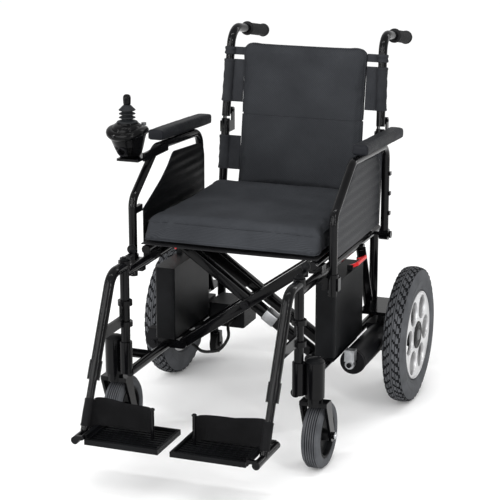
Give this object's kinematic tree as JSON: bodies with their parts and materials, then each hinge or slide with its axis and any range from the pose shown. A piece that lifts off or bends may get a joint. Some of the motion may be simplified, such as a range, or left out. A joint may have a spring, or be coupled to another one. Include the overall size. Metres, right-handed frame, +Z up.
{
  "type": "folding power wheelchair",
  "caption": "Folding power wheelchair: cross-braced tube frame, padded seat and back, flip-back arms, swing-away footrests and joystick control.",
  "frame": {"origin": "on the floor under the middle of the chair", "axes": "+X to the sitter's left, +Y to the rear, +Z up"},
  "size_m": [0.686, 1.1731, 0.9089],
  "materials": {
    "frame_paint": "gloss black powder coat",
    "battery_case": "fine-grained black",
    "red_plastic": "gloss",
    "motor_paint": "satin black",
    "cast_alloy": "cast",
    "rim_alloy": "satin",
    "tyre_rubber": "matt grey-black",
    "hub_plastic": "matt",
    "knob_plastic": "matt",
    "plate_plastic": "ribbed",
    "webbing": "woven nylon",
    "pad_vinyl": "grained black",
    "skirt_plastic": "ribbed dark grey",
    "grip_rubber": "matt",
    "wheel_rubber": "matt",
    "steel": "zinc plated",
    "sling_nylon": "woven nylon",
    "seat_fabric": "plain charcoal weave",
    "back_fabric": "black diagonal twill",
    "pod_plastic": "satin black",
    "boot_rubber": "matt",
    "button_plastic": "satin",
    "cable_jacket": "matt"
  },
  "bodies": {
    "right_frame": {"right_side_frame": "frame_paint", "right_battery_box": "battery_case", "right_drive_motor": "motor_paint", "right_anti_tip_bar": "frame_paint", "control_box": "battery_case", "motor_cable": "cable_jacket", "back_lower": "back_fabric"},
    "left_frame": {"left_side_frame": "frame_paint", "left_battery_box": "battery_case", "left_drive_motor": "motor_paint", "left_anti_tip_bar": "frame_paint"},
    "brace_a": {"brace_a": "frame_paint", "brace_bolt": "steel"},
    "brace_b": {"brace_b": "frame_paint"},
    "seat": {"seat_sling": "sling_nylon", "seat_cushion": "seat_fabric"},
    "joystick_gimbal": {"joystick_gimbal": "steel"},
    "joystick_stick": {"joystick_stick": "knob_plastic"},
    "power_button": {"power_button": "button_plastic"},
    "speed_button": {"speed_button": "button_plastic"},
    "left_drive_wheel": {"left_drive_rim": "rim_alloy", "left_drive_tyre": "tyre_rubber"},
    "left_caster": {"left_caster_fork": "frame_paint"},
    "left_caster_wheel": {"left_caster_hub": "hub_plastic", "left_caster_tyre": "tyre_rubber"},
    "left_hanger": {"left_hanger": "frame_paint"},
    "left_latch": {"left_hanger_latch": "knob_plastic"},
    "left_footrest": {"left_footrest_tube": "frame_paint", "left_heel_strap": "webbing"},
    "left_footplate": {"left_footplate": "plate_plastic"},
    "left_armrest": {"left_arm_frame": "frame_paint", "left_arm_pad": "pad_vinyl", "left_skirt_panel": "skirt_plastic"},
    "left_back": {"left_upper_cane": "frame_paint", "left_push_grip": "grip_rubber"},
    "left_battery_handle": {"left_battery_handle": "red_plastic"},
    "left_motor_release": {"left_motor_release": "cast_alloy"},
    "left_anti_tip_wheel": {"left_anti_tip_wheel": "wheel_rubber"},
    "right_drive_wheel": {"right_drive_rim": "rim_alloy", "right_drive_tyre": "tyre_rubber"},
    "right_caster": {"right_caster_fork": "frame_paint"},
    "right_caster_wheel": {"right_caster_hub": "hub_plastic", "right_caster_tyre": "tyre_rubber"},
    "right_hanger": {"right_hanger": "frame_paint"},
    "right_latch": {"right_hanger_latch": "knob_plastic"},
    "right_footrest": {"right_footrest_tube": "frame_paint", "right_heel_strap": "webbing"},
    "right_footplate": {"right_footplate": "plate_plastic"},
    "right_armrest": {"right_arm_frame": "frame_paint", "right_arm_pad": "pad_vinyl", "right_skirt_panel": "skirt_plastic", "pod_bracket": "frame_paint", "pod_housing": "pod_plastic", "joystick_boot": "boot_rubber"},
    "right_back": {"right_upper_cane": "frame_paint", "right_push_grip": "grip_rubber", "back_upper": "back_fabric"},
    "right_battery_handle": {"right_battery_handle": "red_plastic"},
    "right_motor_release": {"right_motor_release": "cast_alloy"},
    "right_anti_tip_wheel": {"right_anti_tip_wheel": "wheel_rubber"}
  },
  "joints": [
    {"name": "fold", "type": "hinge", "parent": "right_frame", "child": "brace_a", "pos_m": [-0.163, 0, 0.192], "axis": [0, -1, 0], "range_deg": [0, 32.5], "deforming": ["seat_sling", "seat_cushion", "back_upper", "back_lower", "left_heel_strap", "right_heel_strap"]},
    {"name": "brace_scissor", "type": "hinge", "parent": "brace_a", "child": "brace_b", "pos_m": [0, 0, 0.30805], "axis": [0, -1, 0], "range_deg": [-65, 0]},
    {"name": "left_frame_hinge", "type": "hinge", "parent": "brace_b", "child": "left_frame", "pos_m": [0.163, 0, 0.192], "axis": [0, -1, 0], "range_deg": [0, 32.5]},
    {"name": "seat_lift", "type": "hinge", "parent": "brace_b", "child": "seat", "pos_m": [-0.205, 0, 0.454], "axis": [0, -1, 0], "range_deg": [0, 32.5]},
    {"name": "left_drive_wheel_spin", "type": "hinge", "parent": "left_frame", "child": "left_drive_wheel", "pos_m": [0.315, 0.243, 0.171], "axis": [1, 0, 0], "continuous": true},
    {"name": "left_caster_swivel", "type": "hinge", "parent": "left_frame", "child": "left_caster", "pos_m": [0.245, -0.298, 0.2], "axis": [0, 0, 1], "continuous": true},
    {"name": "left_caster_spin", "type": "hinge", "parent": "left_caster", "child": "left_caster_wheel", "pos_m": [0.245, -0.26, 0.078], "axis": [1, 0, 0], "continuous": true},
    {"name": "left_hanger_swing", "type": "hinge", "parent": "left_frame", "child": "left_hanger", "pos_m": [0.211, -0.31, 0.35], "axis": [0, 0, 1], "range_deg": [0, 90]},
    {"name": "left_latch_turn", "type": "hinge", "parent": "left_hanger", "child": "left_latch", "pos_m": [0.211, -0.31, 0.456], "axis": [0, 0, 1], "range_deg": [0, 25], "stiffness_Nm_per_rad": 0.3},
    {"name": "left_footrest_slide", "type": "slide", "parent": "left_hanger", "child": "left_footrest", "axis": [0, -0.4372, -0.8994], "range_m": [-0.03, 0.03]},
    {"name": "left_footplate_flip", "type": "hinge", "parent": "left_footrest", "child": "left_footplate", "pos_m": [0.194, -0.52, 0.127], "axis": [0, 1, 0], "range_deg": [0, 90], "deforming": ["left_heel_strap"]},
    {"name": "left_armrest_flip", "type": "hinge", "parent": "left_frame", "child": "left_armrest", "pos_m": [0.2468, 0.24, 0.425], "axis": [-1, 0, 0], "range_deg": [0, 100]},
    {"name": "left_back_fold", "type": "hinge", "parent": "left_frame", "child": "left_back", "pos_m": [0.207, 0.34571, 0.69], "axis": [-1, 0, 0], "range_deg": [0, 95]},
    {"name": "left_battery_handle_lift", "type": "hinge", "parent": "left_frame", "child": "left_battery_handle", "pos_m": [0.221, 0.077, 0.39], "axis": [0, -1, 0], "range_deg": [0, 35]},
    {"name": "left_motor_release_turn", "type": "hinge", "parent": "left_frame", "child": "left_motor_release", "pos_m": [0.252, -0.049, 0.178], "axis": [0, 1, 0], "range_deg": [0, 40]},
    {"name": "left_anti_tip_spin", "type": "hinge", "parent": "left_frame", "child": "left_anti_tip_wheel", "pos_m": [0.252, 0.361, 0.046], "axis": [1, 0, 0], "continuous": true},
    {"name": "right_drive_wheel_spin", "type": "hinge", "parent": "right_frame", "child": "right_drive_wheel", "pos_m": [-0.315, 0.243, 0.171], "axis": [1, 0, 0], "continuous": true},
    {"name": "right_caster_swivel", "type": "hinge", "parent": "right_frame", "child": "right_caster", "pos_m": [-0.245, -0.298, 0.2], "axis": [0, 0, 1], "continuous": true},
    {"name": "right_caster_spin", "type": "hinge", "parent": "right_caster", "child": "right_caster_wheel", "pos_m": [-0.245, -0.26, 0.078], "axis": [1, 0, 0], "continuous": true},
    {"name": "right_hanger_swing", "type": "hinge", "parent": "right_frame", "child": "right_hanger", "pos_m": [-0.211, -0.31, 0.35], "axis": [0, 0, -1], "range_deg": [0, 90]},
    {"name": "right_latch_turn", "type": "hinge", "parent": "right_hanger", "child": "right_latch", "pos_m": [-0.211, -0.31, 0.456], "axis": [0, 0, -1], "range_deg": [0, 25], "stiffness_Nm_per_rad": 0.3},
    {"name": "right_footrest_slide", "type": "slide", "parent": "right_hanger", "child": "right_footrest", "axis": [0, -0.4372, -0.8994], "range_m": [-0.03, 0.03]},
    {"name": "right_footplate_flip", "type": "hinge", "parent": "right_footrest", "child": "right_footplate", "pos_m": [-0.194, -0.52, 0.127], "axis": [0, -1, 0], "range_deg": [0, 90], "deforming": ["right_heel_strap"]},
    {"name": "right_armrest_flip", "type": "hinge", "parent": "right_frame", "child": "right_armrest", "pos_m": [-0.2468, 0.24, 0.425], "axis": [-1, 0, 0], "range_deg": [0, 100]},
    {"name": "right_back_fold", "type": "hinge", "parent": "right_frame", "child": "right_back", "pos_m": [-0.207, 0.34571, 0.69], "axis": [-1, 0, 0], "range_deg": [0, 95]},
    {"name": "right_battery_handle_lift", "type": "hinge", "parent": "right_frame", "child": "right_battery_handle", "pos_m": [-0.221, 0.077, 0.39], "axis": [0, 1, 0], "range_deg": [0, 35]},
    {"name": "right_motor_release_turn", "type": "hinge", "parent": "right_frame", "child": "right_motor_release", "pos_m": [-0.252, -0.049, 0.178], "axis": [0, -1, 0], "range_deg": [0, 40]},
    {"name": "right_anti_tip_spin", "type": "hinge", "parent": "right_frame", "child": "right_anti_tip_wheel", "pos_m": [-0.252, 0.361, 0.046], "axis": [1, 0, 0], "continuous": true},
    {"name": "joystick_pitch", "type": "hinge", "parent": "right_armrest", "child": "joystick_gimbal", "pos_m": [-0.265, -0.16, 0.718], "axis": [1, 0, 0], "range_deg": [-18, 18], "stiffness_Nm_per_rad": 0.5, "deforming": ["joystick_boot"]},
    {"name": "joystick_roll", "type": "hinge", "parent": "joystick_gimbal", "child": "joystick_stick", "pos_m": [-0.265, -0.16, 0.718], "axis": [0, 1, 0], "range_deg": [-18, 18], "stiffness_Nm_per_rad": 0.5, "deforming": ["joystick_boot"]},
    {"name": "power_press", "type": "slide", "parent": "right_armrest", "child": "power_button", "axis": [0, 0, -1], "range_m": [0, 0.0015], "stiffness_N_per_m": 150},
    {"name": "speed_press", "type": "slide", "parent": "right_armrest", "child": "speed_button", "axis": [0, 0, -1], "range_m": [0, 0.0015], "stiffness_N_per_m": 150}
  ],
  "couplings": [
    {"joint": "brace_scissor", "follows": "fold", "ratio": -2},
    {"joint": "left_frame_hinge", "follows": "fold", "ratio": 1},
    {"joint": "seat_lift", "follows": "fold", "ratio": 1},
    {"joint": "left_footplate_flip", "follows": "fold", "ratio": 2.7692},
    {"joint": "right_footplate_flip", "follows": "fold", "ratio": 2.7692},
    {"joint": "left_back_fold", "follows": "right_back_fold", "ratio": 1}
  ]
}
